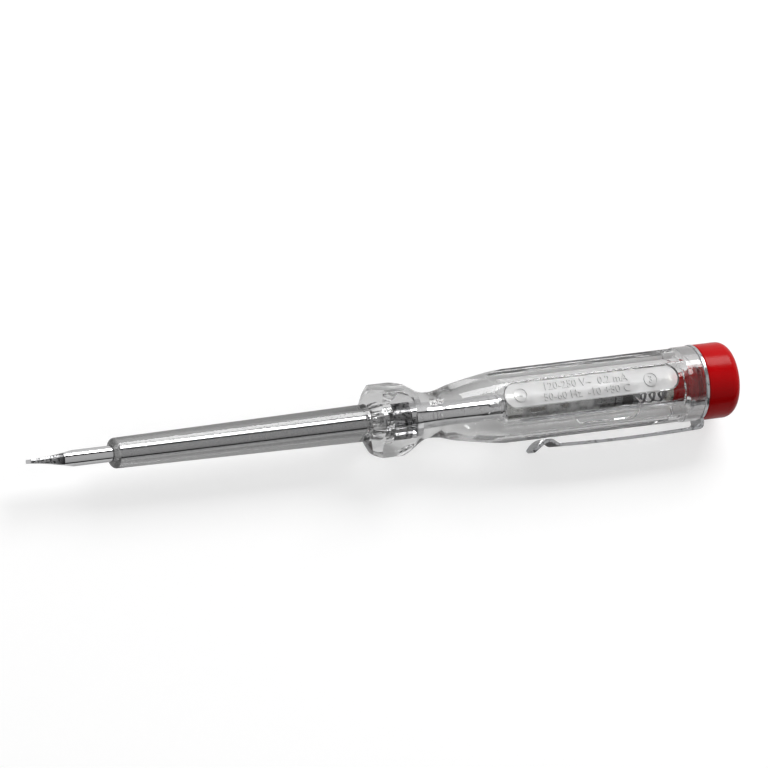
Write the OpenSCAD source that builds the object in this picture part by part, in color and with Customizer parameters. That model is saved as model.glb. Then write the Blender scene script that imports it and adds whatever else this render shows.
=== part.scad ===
// Voltage tester: a flat-bladed mains tester with a clear handle, a glow lamp inside and a pocket clip.
// The tester lies along X with its blade at -X and its cap at +X. The origin is on its axis, where the
// bare shaft comes out of the sleeve. The label field looks up, along +Z.

/* [Blade] */
// Diameter of the steel shaft
blade_d = 3; // [2.6:0.1:3.6]
// Length of the blade that stands out of the sleeve
bare_l = 16.3; // [14:0.1:60]
// Length of the ground end
grind_l = 8.7; // [8:0.1:12]
// Thickness of the tip
tip_t = 0.7; // [0.4:0.05:1]
// Width of the tip
tip_w = 2.6; // [2:0.1:2.6]
// Distance of the tip's middle from the shaft's axis
tip_rise = 0.35; // [0:0.05:0.5]
// Depth by which the ground faces are hollow
grind_hollow = 0.24; // [0:0.02:0.3]
// Angle of the flat tip about the shaft, from the label field
tip_turn = 15; // [0:1:90]
// Width of the groove that the sleeve grips at its mouth
grip_groove_w = 1; // [0.6:0.1:1.5]
// Depth of the groove that the sleeve grips
grip_groove_depth = 0.25; // [0.2:0.05:0.4]
// Length of the flattened wings that stop the blade from turning
wing_l = 5; // [3:0.5:5]
// Width across the wings
wing_w = 4.4; // [4:0.1:5]
// Thickness of the wings
wing_t = 1.8; // [1.2:0.1:2.4]
// Distance from the sleeve's spigot to the wings
wing_gap = 0.5; // [0.2:0.1:1]

/* [Sleeve] */
// Length of the sleeve in front of the collar
sleeve_l = 50.3; // [30:0.1:120]
// Diameter of the sleeve at its front
sleeve_front_d = 5.6; // [5:0.1:6]
// Diameter of the sleeve at the collar
sleeve_rear_d = 6.8; // [6.2:0.1:7.6]
// Radius of the sleeve's rounded mouth
sleeve_nose_r = 0.8; // [0.2:0.1:1]
// Length of the spigot that sits in the collar
spigot_l = 4; // [2:0.5:4.5]
// Diameter of the spigot
spigot_d = 5.6; // [5:0.1:6]

/* [Collar and neck] */
// Diameter over the collar's corners
collar_d = 14.1; // [13:0.1:16]
// Width across the collar's flats
collar_af = 12.2; // [11.4:0.1:12.4]
// Length of the collar behind its domed front
collar_l = 3; // [2:0.1:6]
// Radius of the collar's domed front
collar_dome_r = 11; // [9:0.5:30]
// Length of the curve from the collar down to the throat
blend_l = 7.2; // [5:0.1:12]
// Diameter of the neck at the throat
throat_d = 8.36; // [7.6:0.1:10]
// Length of the throat's even stretch
throat_l = 1; // [0.5:0.1:4]
// Length of the cone from the throat up to the grip
neck_l = 12.8; // [9:0.1:20]

/* [Grip] */
// Diameter over the grip's rounded edges
grip_d = 13.5; // [12.8:0.1:15]
// Width across the grip's eight flats
grip_af = 12.6; // [12.2:0.05:12.6]
// Length of the grip's even stretch
grip_l = 36; // [34:0.5:60]
// Diameter of the round band behind the grip
band_d = 13.7; // [13.6:0.1:16]
// Length of the band
band_l = 3.1; // [2.6:0.1:6]
// Length of the slope in front of the band
band_slope = 0.5; // [0.3:0.1:1]
// Diameter of the bore for the lamp and the resistor
bore_d = 5.2; // [5.1:0.05:5.6]
// Size of the chamfer at the bore's floor
bore_chamfer = 0.6; // [0.2:0.1:1]
// Length by which the blade's inner end stands into the bore
blade_stand = 0.4; // [0.2:0.1:1]

/* [Label field and window] */
// Length of the sunk label field
field_l = 35; // [20:0.5:36]
// Width of the label field's floor
field_w = 4.4; // [3:0.1:4.6]
// Depth of the label field
field_depth = 0.22; // [0.1:0.02:0.4]
// Width of the label field's sloping edge
field_edge = 0.25; // [0.1:0.05:0.3]
// Distance from the label field to the band
field_gap = 1.8; // [1.6:0.1:4]
// Length of the sunk window over the lamp
window_l = 12.5; // [6:0.5:20]
// Width of the window
window_w = 3.8; // [2:0.1:4.4]
// Depth of the window
window_depth = 0.25; // [0.1:0.05:0.4]
// Size of the window's cut corners
window_bevel = 0.9; // [0.3:0.1:1]
// Distance from the window to the band
window_gap = 10; // [4:0.5:12]

/* [Lamp] */
// Diameter of the lamp's glass tube
lamp_d = 4.6; // [4:0.1:4.6]
// Wall of the glass tube
lamp_wall = 0.4; // [0.3:0.05:0.6]
// Length of the glass tube
lamp_l = 20.7; // [14:0.1:21]
// Length of each metal lamp cap
lamp_cap_l = 2.8; // [2:0.1:4]
// Wall of the lamp caps
lamp_cap_wall = 0.15; // [0.1:0.01:0.18]
// Thickness of the glass beads that close the tube
bead_t = 1.6; // [1:0.1:2.4]
// Diameter of the leads
lead_d = 0.5; // [0.4:0.05:0.8]
// Diameter of the electrodes
electrode_d = 1.3; // [0.9:0.1:2]
// Gap between the two electrodes
electrode_gap = 2; // [1:0.1:4]
// Distance from an electrode to its bead
electrode_stand = 1.4; // [0.5:0.1:3]
// Diameter of the solder dots
solder_d = 1.6; // [1:0.1:2.4]
// Height of the solder dots
solder_h = 0.25; // [0.15:0.05:0.5]

/* [Resistor] */
// Diameter of the resistor's rod
resistor_d = 4.2; // [3:0.1:4.4]
// Length of the resistor over its caps
resistor_l = 4.8; // [4:0.1:7]
// Length of each resistor cap
resistor_cap_l = 1.3; // [0.8:0.1:1.6]
// Wall of the resistor caps
resistor_cap_wall = 0.2; // [0.15:0.05:0.3]

/* [Contact spring] */
// Diameter of the spring's wire
wire_d = 0.5; // [0.35:0.05:0.6]
// Diameter of the spring over its wire
spring_d = 4.6; // [3.6:0.1:4.7]
// Length of the spring between the resistor and the disc
spring_l = 6.2; // [5:0.1:8]
// Climb of the spring's wire in one turn
spring_pitch = 1.75; // [1.3:0.05:2.2]

/* [End cap] */
// Diameter of the cap
cap_d = 13.86; // [13:0.1:16]
// Length of the cap
cap_l = 6.9; // [5:0.1:12]
// Radius of the cap's rounded rear edge
cap_round = 2; // [1:0.1:3]
// Height of the dome on the cap's end
cap_dome = 0.25; // [0.1:0.05:0.6]
// Size of the chamfer at the cap's front edge
cap_chamfer = 0.3; // [0.1:0.1:0.6]
// Diameter of the threaded plug
plug_d = 6.5; // [6:0.1:7.5]
// Length of the threaded plug
plug_l = 3.4; // [2.5:0.1:3.6]
// Diameter of the nose in front of the plug
nose_d = 4.9; // [3.6:0.1:4.9]
// Length of the nose
nose_l = 2.5; // [1.5:0.1:4]
// Room in the thread's bore in front of the plug
plug_room = 0.4; // [0.2:0.1:0.8]
// Diameter of the touch stud
stud_d = 2; // [1.4:0.1:2.4]
// Diameter of the stud's head, where the finger rests
touch_d = 5.2; // [4:0.1:7]
// Thickness of the stud's head
touch_t = 0.7; // [0.5:0.1:1.2]
// Thickness of the brass disc that the spring presses on
seat_t = 0.4; // [0.3:0.05:0.8]
// Diameter of the disc that the spring presses on
seat_d = 4.8; // [4:0.1:4.9]

/* [Clip] */
// Thickness of the clip's sheet
clip_t = 0.6; // [0.4:0.05:0.8]
// Width of the clip's strip
clip_w = 4.8; // [3.5:0.1:6]
// Diameter of the clip's ring
clip_ring_d = 14; // [13.6:0.1:16]
// Gap between the plug and the hole in the clip's ring
clip_bore_gap = 0.25; // [0.1:0.05:0.5]
// Angle of the clip about the axis, from the label field
clip_angle = 105; // [60:1:180]
// Inner radius of the bend between the ring and the strip
clip_bend_r = 0.5; // [0.4:0.05:0.9]
// Gap between the strip and the grip's edges, where the strip leaves the bend
clip_gap = 1.15; // [0.9:0.05:2]
// Outward bow of the strip's middle
clip_bow = 0.28; // [0:0.02:0.5]
// Length of the strip's straight run, from the bend to the arch
clip_run_l = 27.8; // [20:0.1:30]
// Gap between the top of the arch and the grip's edges
arch_gap = 0.16; // [0.1:0.02:0.5]
// Length of the arch's steep rear leg
arch_rear_l = 1.9; // [1.6:0.1:3]
// Length of the arch's front leg, with its lip
arch_front_l = 3.2; // [2.5:0.1:5]
// Height of the lip's end over the top of the arch
lip_drop = 1.7; // [1:0.1:2.5]
// Radius of the lip's corners
lip_round = 1.9; // [0.5:0.1:2]

/* [Clearances] */
// Gap between stacked parts that press on each other
stack_gap = 0.05; // [0.02:0.01:0.1]
// Radial clearance of parts that turn in each other
run_gap = 0.06; // [0.02:0.01:0.1]
// Angle of the gap between the clip's ring and its strip, at the bend
flex_gap = 9; // [8:0.5:12]

/* [Hidden] */

// How finely round shapes are drawn
$fn = 64;
// Overrun of a cut past the face it opens
cut = 0.5;
// Flats on the collar and on the grip
collar_sides = 6;
grip_sides = 8;
// Angle from the label field to the facet beside it, which carries the window
window_angle = 360 / grip_sides;
// Diameter of a solder dot's free face, as a share of the whole dot's
solder_top_share = 0.6;
// Direction of the split in the clip's bend, from the ring's rear
split_angle = 45;
// Steps in a drawn curve
curve_steps = 12;
// Sides of the wire and rings on each of its curls
wire_sides = 6;
curl_rings = 8;
// Steps in the wire's turn from its straight end into the first curl
turn_steps = 3;

// Places along the axis, from the blade to the cap
x_tip = -bare_l;
x_collar = sleeve_l;
function dome_x(r) = collar_dome_r - sqrt(collar_dome_r * collar_dome_r - r * r);
x_dome = x_collar - dome_x(sleeve_rear_d / 2);
x_corner = x_dome + dome_x(collar_d / 2);
x_blend = x_corner + collar_l;
x_throat = x_blend + blend_l;
x_cone = x_throat + throat_l;
x_grip = x_cone + neck_l;
x_band = x_grip + grip_l;
x_rear = x_band + band_l;
x_ring = x_rear + stack_gap;
x_cap = x_ring + clip_t + stack_gap;
x_cap_end = x_cap + cap_l;
x_nose = x_cap - plug_l - nose_l;
x_seat = x_nose - stack_gap - seat_t;

// The stack in the bore, from the spring back to the blade's inner end
lamp_cap_base = 2 * lamp_cap_wall;
lamp_stack_l = lamp_l + 2 * lamp_cap_base + 2 * solder_h;
lamp_bore_r = lamp_d / 2 - lamp_wall;
x_spring_end = x_seat - stack_gap;
x_spring = x_spring_end - spring_l;
x_blade_end = x_spring - resistor_l - lamp_stack_l - 3 * stack_gap;
x_floor = x_blade_end - blade_stand;
x_front_solder = x_blade_end + stack_gap;
x_front_cap = x_front_solder + solder_h;
x_glass = x_front_cap + lamp_cap_base;
x_glass_end = x_glass + lamp_l;
x_rear_cap_end = x_glass_end + lamp_cap_base;
x_resistor = x_rear_cap_end + solder_h + stack_gap;
x_resistor_end = x_resistor + resistor_l;
thread_bore_d = plug_d + 2 * run_gap;

// The clip's bend: its centre and the strip's inner and outer faces there
bend_x = x_ring - clip_bend_r;
strip_in_r = grip_d / 2 + clip_gap;
bend_r = strip_in_r - clip_bend_r;
strip_mid_r = strip_in_r + clip_t / 2;
arch_mid_r = grip_d / 2 + arch_gap + clip_t / 2;
x_arch_rear = bend_x - clip_run_l;
x_arch_top = x_arch_rear - arch_rear_l;
x_lip = x_arch_top - arch_front_l;
clip_bore_d = plug_d + 2 * clip_bore_gap;

// Turns a shape that stands along Z so that it lies along X
module along(x = 0) {
    translate([x, 0, 0]) rotate([0, 90, 0]) children();
}

// A round bar between two places on the axis
module bar(x0, x1, d) {
    along(x0) cylinder(d = d, h = x1 - x0);
}

// A solid turned about the axis from points of [place along the axis, radius]
module turned(points) {
    along() rotate_extrude() polygon([for (p = points) [p[1], p[0]]]);
}

// A point on a quarter round that starts outwards and ends along the axis
function round_point(x, r, size, t) = [x + size * (1 - cos(90 * t)), r - size * (1 - sin(90 * t))];

// The ground faces: straight from the tip to the shaft, drawn in by the hollow
function ground(side, t) = [x_tip + grind_l * t,
    tip_rise * (1 - t) + side * (tip_t / 2 + (blade_d - tip_t) / 2 * t - grind_hollow * 4 * t * (1 - t))];

// The shaft with its ground end cut away
module blade_shaft() {
    far = blade_d;
    r = blade_d / 2;
    intersection() {
        turned([[x_tip, 0], [x_tip, tip_w / 2], [x_tip + grind_l, r], [0, r],
            [0, r - grip_groove_depth], [grip_groove_w, r - grip_groove_depth], [grip_groove_w, r],
            [x_blade_end, r], [x_blade_end, 0]]);
        rotate([tip_turn, 0, 0]) linear_extrude(height = 2 * far, center = true) polygon(concat(
            [for (i = [0 : curve_steps]) ground(1, i / curve_steps)],
            [[x_tip + grind_l, far], [x_blade_end + far, far], [x_blade_end + far, -far],
                [x_tip + grind_l, -far]],
            [for (i = [curve_steps : -1 : 0]) ground(-1, i / curve_steps)]));
    }
}

// The wings that are pressed out of the shaft inside the collar, behind the spigot
module blade_wings() {
    translate([x_collar + spigot_l + wing_gap, -wing_w / 2, -wing_t / 2]) cube([wing_l, wing_w, wing_t]);
}

module blade() {
    color([0.72, 0.73, 0.75]) union() {
        blade_shaft();
        blade_wings();
    }
}

module blade_sleeve() {
    front_r = sleeve_front_d / 2;
    color([0.86, 0.88, 0.9, 0.4]) difference() {
        union() {
            turned(concat([[0, 0]],
                [for (i = [0 : curve_steps]) round_point(0, front_r, sleeve_nose_r, i / curve_steps)],
                [[x_collar, sleeve_rear_d / 2], [x_collar, 0]]));
            bar(x_collar - spigot_l, x_collar + spigot_l, spigot_d);
        }
        difference() {
            bar(-cut, x_collar + spigot_l + cut, blade_d);
            turned([[0, blade_d], [0, blade_d / 2 - grip_groove_depth],
                [grip_groove_w, blade_d / 2 - grip_groove_depth], [grip_groove_w, blade_d]]);
        }
    }
}

// Radius of the curve from the collar to the throat, at a share of its length
function blend_r(t) = (collar_d + throat_d) / 4 + (collar_d - throat_d) / 4 * cos(180 * t);

// The handle's turned outline, before its flats are cut
module handle_turned() {
    front_r = sleeve_rear_d / 2;
    corner_r = collar_d / 2;
    turned(concat([[x_collar, 0]],
        [for (i = [0 : curve_steps])
            let (r = front_r + (corner_r - front_r) * i / curve_steps) [x_dome + dome_x(r), r]],
        [for (i = [0 : curve_steps]) [x_blend + blend_l * i / curve_steps, blend_r(i / curve_steps)]],
        [[x_cone, throat_d / 2], [x_grip, grip_d / 2], [x_band, grip_d / 2], [x_band, 0]]));
}

// A bar with flats: its width across them, and how many. One flat looks up, as the label field does
module flat_bar(x0, x1, across, sides) {
    along(x0) rotate(180 / sides) cylinder(d = across / cos(180 / sides), h = x1 - x0, $fn = sides);
}

// The sunk field: a tray with round ends and sloping edges, cut into the top flat
module label_field() {
    floor_r = field_w / 2;
    top_r = floor_r + field_edge * (field_depth + cut) / field_depth;
    z0 = grip_af / 2 - field_depth;
    x1 = x_band - field_gap - floor_r - field_edge;
    x0 = x_band - field_gap - field_l + floor_r + field_edge;
    translate([x0, 0, z0]) rotate([90, 0, 90]) linear_extrude(height = x1 - x0)
        polygon([[-floor_r, 0], [floor_r, 0], [top_r, field_depth + cut], [-top_r, field_depth + cut]]);
    for (x = [x0, x1]) translate([x, 0, z0]) cylinder(r1 = floor_r, r2 = top_r, h = field_depth + cut);
}

// The sunk window on the facet between the label field and the clip
module window_field() {
    half = window_w / 2;
    x1 = x_band - window_gap;
    x0 = x1 - window_l;
    rotate([window_angle, 0, 0]) translate([0, 0, grip_af / 2 - window_depth])
        linear_extrude(height = window_depth + cut)
            polygon([[x0, -half + window_bevel], [x0 + window_bevel, -half], [x1 - window_bevel, -half],
                [x1, -half + window_bevel], [x1, half - window_bevel], [x1 - window_bevel, half],
                [x0 + window_bevel, half], [x0, half - window_bevel]]);
}

// The bore from the rear: the thread's bore, the main bore and its chamfered floor
module handle_bore() {
    x_step = x_cap - plug_l - plug_room;
    turned([[x_floor, 0], [x_floor, bore_d / 2 - bore_chamfer], [x_floor + bore_chamfer, bore_d / 2],
        [x_step, bore_d / 2], [x_step, thread_bore_d / 2], [x_rear + cut, thread_bore_d / 2],
        [x_rear + cut, 0]]);
}

module handle_body() {
    slope_r = grip_af / 2 - cut;
    rise = band_slope * (band_d - 2 * slope_r) / (band_d - grip_af);
    color([0.88, 0.9, 0.92, 0.35]) difference() {
        union() {
            intersection() {
                handle_turned();
                // The two bars overlap along the throat, where the neck is thinner than both
                union() {
                    flat_bar(x_dome, x_cone, collar_af, collar_sides);
                    flat_bar(x_throat, x_band, grip_af, grip_sides);
                }
            }
            turned([[x_band - rise, 0], [x_band - rise, slope_r], [x_band, band_d / 2],
                [x_rear, band_d / 2], [x_rear, 0]]);
        }
        handle_bore();
        bar(x_collar - cut, x_collar + spigot_l, spigot_d);
        bar(x_collar, x_floor + cut, blade_d);
        blade_wings();
        label_field();
        window_field();
    }
}

module lamp_glass() {
    color([0.8, 0.82, 0.84, 0.4]) difference() {
        bar(x_glass, x_glass_end, lamp_d);
        bar(x_glass - cut, x_glass_end + cut, 2 * lamp_bore_r);
    }
}

// A glass bead that closes the tube round its lead
module bead(x0) {
    color([0.75, 0.78, 0.8, 0.5]) difference() {
        bar(x0, x0 + bead_t, 2 * lamp_bore_r);
        bar(x0 - cut, x0 + bead_t + cut, lead_d);
    }
}

module lamp_front_bead() {
    bead(x_glass);
}

module lamp_rear_bead() {
    bead(x_glass_end - bead_t);
}

// A lead with its electrode: the lead runs from the cap's outer face through the electrode
module electrode(x_lead, x_rod, x_end) {
    color([0.7, 0.68, 0.62]) union() {
        bar(min(x_lead, x_end), max(x_lead, x_end), lead_d);
        bar(min(x_rod, x_end), max(x_rod, x_end), electrode_d);
    }
}

module lamp_front_electrode() {
    electrode(x_front_cap, x_glass + bead_t + electrode_stand, (x_glass + x_glass_end - electrode_gap) / 2);
}

module lamp_rear_electrode() {
    electrode(x_rear_cap_end, x_glass_end - bead_t - electrode_stand,
        (x_glass + x_glass_end + electrode_gap) / 2);
}

// A metal cup over a tube's end, with its base at x0 and its mouth at x1, and a hole for a lead
module cup(x0, x1, inner_d, wall, base, hole_d) {
    way = sign(x1 - x0);
    difference() {
        bar(min(x0, x1), max(x0, x1), inner_d + 2 * wall);
        bar(min(x0 + way * base, x1 + way * cut), max(x0 + way * base, x1 + way * cut), inner_d);
        if (hole_d > 0) bar(min(x0, x0 + way * base) - cut, max(x0, x0 + way * base) + cut, hole_d);
    }
}

module lamp_front_cap() {
    color([0.62, 0.62, 0.62])
        cup(x_front_cap, x_front_cap + lamp_cap_l, lamp_d, lamp_cap_wall, lamp_cap_base, lead_d);
}

module lamp_rear_cap() {
    color([0.62, 0.62, 0.62])
        cup(x_rear_cap_end, x_rear_cap_end - lamp_cap_l, lamp_d, lamp_cap_wall, lamp_cap_base, lead_d);
}

// A flattened dot of solder over a lead's end
module solder_dot(x0, front_share, rear_share) {
    color([0.75, 0.76, 0.78])
        along(x0) cylinder(d1 = solder_d * front_share, d2 = solder_d * rear_share, h = solder_h);
}

module lamp_front_solder() {
    solder_dot(x_front_solder, solder_top_share, 1);
}

module lamp_rear_solder() {
    solder_dot(x_rear_cap_end, 1, solder_top_share);
}

module resistor_rod() {
    color([0.16, 0.13, 0.12])
        bar(x_resistor + resistor_cap_wall, x_resistor_end - resistor_cap_wall, resistor_d);
}

module resistor_front_cap() {
    color([0.5, 0.5, 0.5]) cup(x_resistor, x_resistor + resistor_cap_l, resistor_d, resistor_cap_wall,
        resistor_cap_wall, 0);
}

module resistor_rear_cap() {
    color([0.5, 0.5, 0.5]) cup(x_resistor_end, x_resistor_end - resistor_cap_l, resistor_d,
        resistor_cap_wall, resistor_cap_wall, 0);
}

// The spring's wire, laid flat: places along the axis against the length wound round it
coil_r = (spring_d - wire_d) / 2;
climb = atan(spring_pitch / (2 * PI * coil_r));
straight_l = wire_d;
turn_r = wire_d;
turn_end = 90 - climb;
turn_x = turn_r * sin(turn_end);
turn_y = turn_r * (1 - cos(turn_end));
helix_x = spring_l - 2 * straight_l - 2 * turn_x;
wound_l = helix_x / tan(climb);
wound_rings = ceil(curl_rings * helix_x / spring_pitch);
flat_path = concat(
    [[x_spring, 0]],
    [for (i = [0 : turn_steps]) let (a = turn_end * i / turn_steps)
        [x_spring + straight_l + turn_r * sin(a), turn_r * (1 - cos(a))]],
    [for (i = [1 : wound_rings]) [x_spring + straight_l + turn_x + helix_x * i / wound_rings,
        turn_y + wound_l * i / wound_rings]],
    [for (i = [turn_steps - 1 : -1 : 0]) let (a = turn_end * i / turn_steps)
        [x_spring_end - straight_l - turn_r * sin(a), wound_l + 2 * turn_y - turn_r * (1 - cos(a))]],
    [[x_spring_end, wound_l + 2 * turn_y]]);

// The wire's middle line in space, its direction and its rings
function wound(p) = let (a = p[1] / coil_r * 180 / PI) [p[0], coil_r * cos(a), coil_r * sin(a)];
wire_path = [for (p = flat_path) wound(p)];
last_ring = len(wire_path) - 1;
function unit(v) = v / norm(v);
function wire_way(i) = i == 0 || i == last_ring ? [1, 0, 0] : unit(
    unit(wire_path[i + 1] - wire_path[i]) + unit(wire_path[i] - wire_path[i - 1]));
function wire_out(i) = let (p = wire_path[i], out = unit([0, p[1], p[2]]), way = wire_way(i))
    unit(out - way * (out * way));
wire_points = [for (i = [0 : last_ring]) let (out = wire_out(i), side = cross(wire_way(i), out))
    for (k = [0 : wire_sides - 1]) let (a = 360 * k / wire_sides)
        wire_path[i] + wire_d / 2 * (out * cos(a) + side * sin(a))];
wire_faces = concat(
    [for (i = [0 : last_ring - 1]) for (k = [0 : wire_sides - 1])
        let (a = i * wire_sides, n = (k + 1) % wire_sides) [a + k, a + n, a + n + wire_sides]],
    [for (i = [0 : last_ring - 1]) for (k = [0 : wire_sides - 1])
        let (a = i * wire_sides, n = (k + 1) % wire_sides) [a + k, a + n + wire_sides, a + k + wire_sides]],
    [for (k = [1 : wire_sides - 2]) [0, k + 1, k]],
    [for (k = [1 : wire_sides - 2]) let (a = last_ring * wire_sides) [a, a + k, a + k + 1]]);

// The least gap of the wire to itself, between rings that lie at least half a curl apart
wire_gap = min([for (i = [0 : last_ring]) for (j = [i + 1 : last_ring])
    if (j - i >= curl_rings / 2) norm(wire_path[i] - wire_path[j]) - wire_d]);
echo(wire_gap = wire_gap);

module contact_spring() {
    color([0.55, 0.55, 0.56]) polyhedron(points = wire_points, faces = wire_faces);
}

module spring_seat() {
    color([0.8, 0.66, 0.36]) difference() {
        bar(x_seat, x_seat + seat_t, seat_d);
        bar(x_seat - cut, x_seat + seat_t + cut, stud_d);
    }
}

// Height of the cap's end over its rim, at a radius
function cap_end_x(r) = x_cap_end - cap_dome * pow(r / (cap_d / 2 - cap_round), 2);

// The stud: a shank through the cap and the head that the finger touches
module touch_stud() {
    r = touch_d / 2;
    x_head = cap_end_x(r) - touch_t;
    color([0.8, 0.8, 0.82]) turned(concat(
        [[x_seat, 0], [x_seat, stud_d / 2], [x_head, stud_d / 2], [x_head, r]],
        [for (i = [curve_steps : -1 : 0]) [cap_end_x(r * i / curve_steps), r * i / curve_steps]]));
}

module end_cap() {
    plug_r = plug_d / 2;
    nose_r = nose_d / 2;
    cap_r = cap_d / 2;
    head_r = touch_d / 2 + run_gap;
    x_round = x_cap_end - cap_dome - cap_round;
    color([0.72, 0.02, 0.04]) difference() {
        turned(concat(
            [[x_nose, 0], [x_nose, nose_r], [x_cap - plug_l, nose_r], [x_cap - plug_l, plug_r],
                [x_cap, plug_r], [x_cap, cap_r - cap_chamfer], [x_cap + cap_chamfer, cap_r]],
            [for (i = [0 : curve_steps]) let (a = 90 * i / curve_steps)
                [x_round + cap_round * sin(a), cap_r - cap_round * (1 - cos(a))]],
            [for (i = [curve_steps - 1 : -1 : 0]) let (r = (cap_r - cap_round) * i / curve_steps)
                [cap_end_x(r), r]]));
        bar(x_nose - cut, x_cap_end, stud_d + 2 * run_gap);
        bar(cap_end_x(touch_d / 2) - touch_t - stack_gap, x_cap_end + cut, 2 * head_r);
    }
}

// Turns a shape drawn in the plane of X and Y so that Y points from the axis to the clip
module to_clip() {
    rotate([90 + clip_angle, 0, 0]) children();
}

// A point of the bend, by its radius and its angle from the ring's rear
function bend_point(r, a) = [bend_x + r * cos(a), bend_r + r * sin(a)];

// A piece of the bend between two angles
function bend_outline(a0, a1) = concat(
    [for (i = [0 : curve_steps]) bend_point(clip_bend_r + clip_t, a0 + (a1 - a0) * i / curve_steps)],
    [for (i = [curve_steps : -1 : 0]) bend_point(clip_bend_r, a0 + (a1 - a0) * i / curve_steps)]);

module clip_ring() {
    color([0.74, 0.75, 0.76]) difference() {
        union() {
            bar(x_ring, x_ring + clip_t, clip_ring_d);
            to_clip() translate([x_ring, 0, -clip_w / 2]) cube([clip_t, bend_r, clip_w]);
            to_clip() linear_extrude(height = clip_w, center = true) polygon(bend_outline(0, split_angle));
        }
        bar(x_ring - cut, x_ring + clip_t + cut, clip_bore_d);
    }
}

// The strip's middle line from the bend to the lip: bowed run, steep leg, top and lip
function run_point(t) = [bend_x - clip_run_l * t, strip_mid_r + clip_bow * 4 * t * (1 - t)];
function rear_leg_point(t) = [x_arch_rear - arch_rear_l * t,
    (strip_mid_r + arch_mid_r) / 2 + (strip_mid_r - arch_mid_r) / 2 * cos(180 * t)];
function front_leg_point(t) = [x_arch_top - arch_front_l * t, arch_mid_r + lip_drop * (1 - cos(90 * t))];
strip_path = concat(
    [for (i = [0 : curve_steps]) run_point(i / curve_steps)],
    [for (i = [1 : curve_steps]) rear_leg_point(i / curve_steps)],
    [for (i = [1 : curve_steps]) front_leg_point(i / curve_steps)]);
strip_last = len(strip_path) - 1;

// Both faces of the strip, half a sheet off its middle line
function strip_way(i) = i == 0 ? [-1, 0] : unit(strip_path[min(i + 1, strip_last)] - strip_path[i - 1]);
function strip_face(side) = [for (i = [0 : strip_last]) let (way = strip_way(i))
    strip_path[i] + side * clip_t / 2 * [way[1], -way[0]]];
function turned_round(points) = [for (i = [len(points) - 1 : -1 : 0]) points[i]];

// The strip seen from above: square at the bend, with round corners at the lip
module strip_plan() {
    half = clip_w / 2;
    front = x_lip - clip_t / 2;
    translate([front + lip_round, -half]) square([bend_x + clip_t - front - lip_round, clip_w]);
    translate([front, -half + lip_round]) square([2 * lip_round, clip_w - 2 * lip_round]);
    for (side = [-1, 1]) translate([front + lip_round, side * (half - lip_round)]) circle(r = lip_round);
}

module clip_arm() {
    top = strip_mid_r + lip_drop + clip_t;
    color([0.74, 0.75, 0.76]) to_clip() union() {
        intersection() {
            linear_extrude(height = clip_w, center = true)
                polygon(concat(strip_face(1), turned_round(strip_face(-1))));
            rotate([-90, 0, 0]) linear_extrude(height = top) strip_plan();
        }
        linear_extrude(height = clip_w, center = true)
            polygon(bend_outline(split_angle + flex_gap, 90));
    }
}

blade();
blade_sleeve();
handle_body();
lamp_glass();
lamp_front_bead();
lamp_rear_bead();
lamp_front_electrode();
lamp_rear_electrode();
lamp_front_cap();
lamp_rear_cap();
lamp_front_solder();
lamp_rear_solder();
resistor_rod();
resistor_front_cap();
resistor_rear_cap();
contact_spring();
spring_seat();
touch_stud();
end_cap();
clip_ring();
clip_arm();
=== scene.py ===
"""Looks of a mains voltage tester: a clear-handled screwdriver with a glow lamp inside and a pocket clip.

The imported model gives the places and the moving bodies. This script dresses it: the clear mouldings are
built again as smooth closed meshes, so that light bends through them as it does through the real ones,
and every part inside gets the finish of its own material. Sizes are in millimetres until a mesh is made.
"""

import logging
import math
from abc import ABC, abstractmethod
from dataclasses import dataclass
from enum import Enum
from typing import Callable, Iterable, Mapping, Sequence

import bmesh
import bpy
from mathutils import Matrix, Vector


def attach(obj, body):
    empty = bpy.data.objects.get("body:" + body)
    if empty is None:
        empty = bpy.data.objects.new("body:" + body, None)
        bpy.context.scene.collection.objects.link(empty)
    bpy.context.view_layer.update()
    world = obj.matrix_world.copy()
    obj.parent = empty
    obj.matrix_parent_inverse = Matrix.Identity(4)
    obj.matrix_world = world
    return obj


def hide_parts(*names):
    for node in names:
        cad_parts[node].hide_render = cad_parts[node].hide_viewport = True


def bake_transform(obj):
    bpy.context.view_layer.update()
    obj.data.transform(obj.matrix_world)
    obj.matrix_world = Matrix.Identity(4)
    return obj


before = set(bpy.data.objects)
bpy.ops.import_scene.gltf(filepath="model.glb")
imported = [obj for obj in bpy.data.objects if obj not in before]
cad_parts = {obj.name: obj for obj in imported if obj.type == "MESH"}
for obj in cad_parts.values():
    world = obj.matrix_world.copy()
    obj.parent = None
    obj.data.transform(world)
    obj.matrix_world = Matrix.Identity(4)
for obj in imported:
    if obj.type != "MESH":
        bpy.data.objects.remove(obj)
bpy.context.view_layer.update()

MM = 0.001
MERGE = MM / 1000
CLOSE = 1e-6
FULL_TURN = 2 * math.pi
WHITE = (1.0, 1.0, 1.0, 1.0)
RANGE = ("Value", "From Min", "From Max", "To Min", "To Max")
LOG = logging.getLogger("tester")

Point = tuple[float, float, float]
Outline = list[tuple[float, float]]
Pair = tuple[float, float]
Piece = bpy.types.Object
Tree = bpy.types.NodeTree
Socket = bpy.types.NodeSocket
Inputs = Mapping[str | int, object]


class Body(str, Enum):
    """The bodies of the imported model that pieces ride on."""

    HANDLE = "handle"
    RING = "clip_ring"
    ARM = "clip_arm"
    SLIDER = "cap_slider"
    CAP = "cap"


class Cut(str, Enum):
    """How one solid is worked into another."""

    JOIN = "UNION"
    CARVE = "DIFFERENCE"
    MEET = "INTERSECT"


# ---- Mesh kit ----


def new_object(name: str, data: bpy.types.ID) -> Piece:
    """Puts a mesh, text, camera or light into the scene under a name and returns its object."""
    piece = bpy.data.objects.new(name, data)
    bpy.context.scene.collection.objects.link(piece)
    return piece


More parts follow.
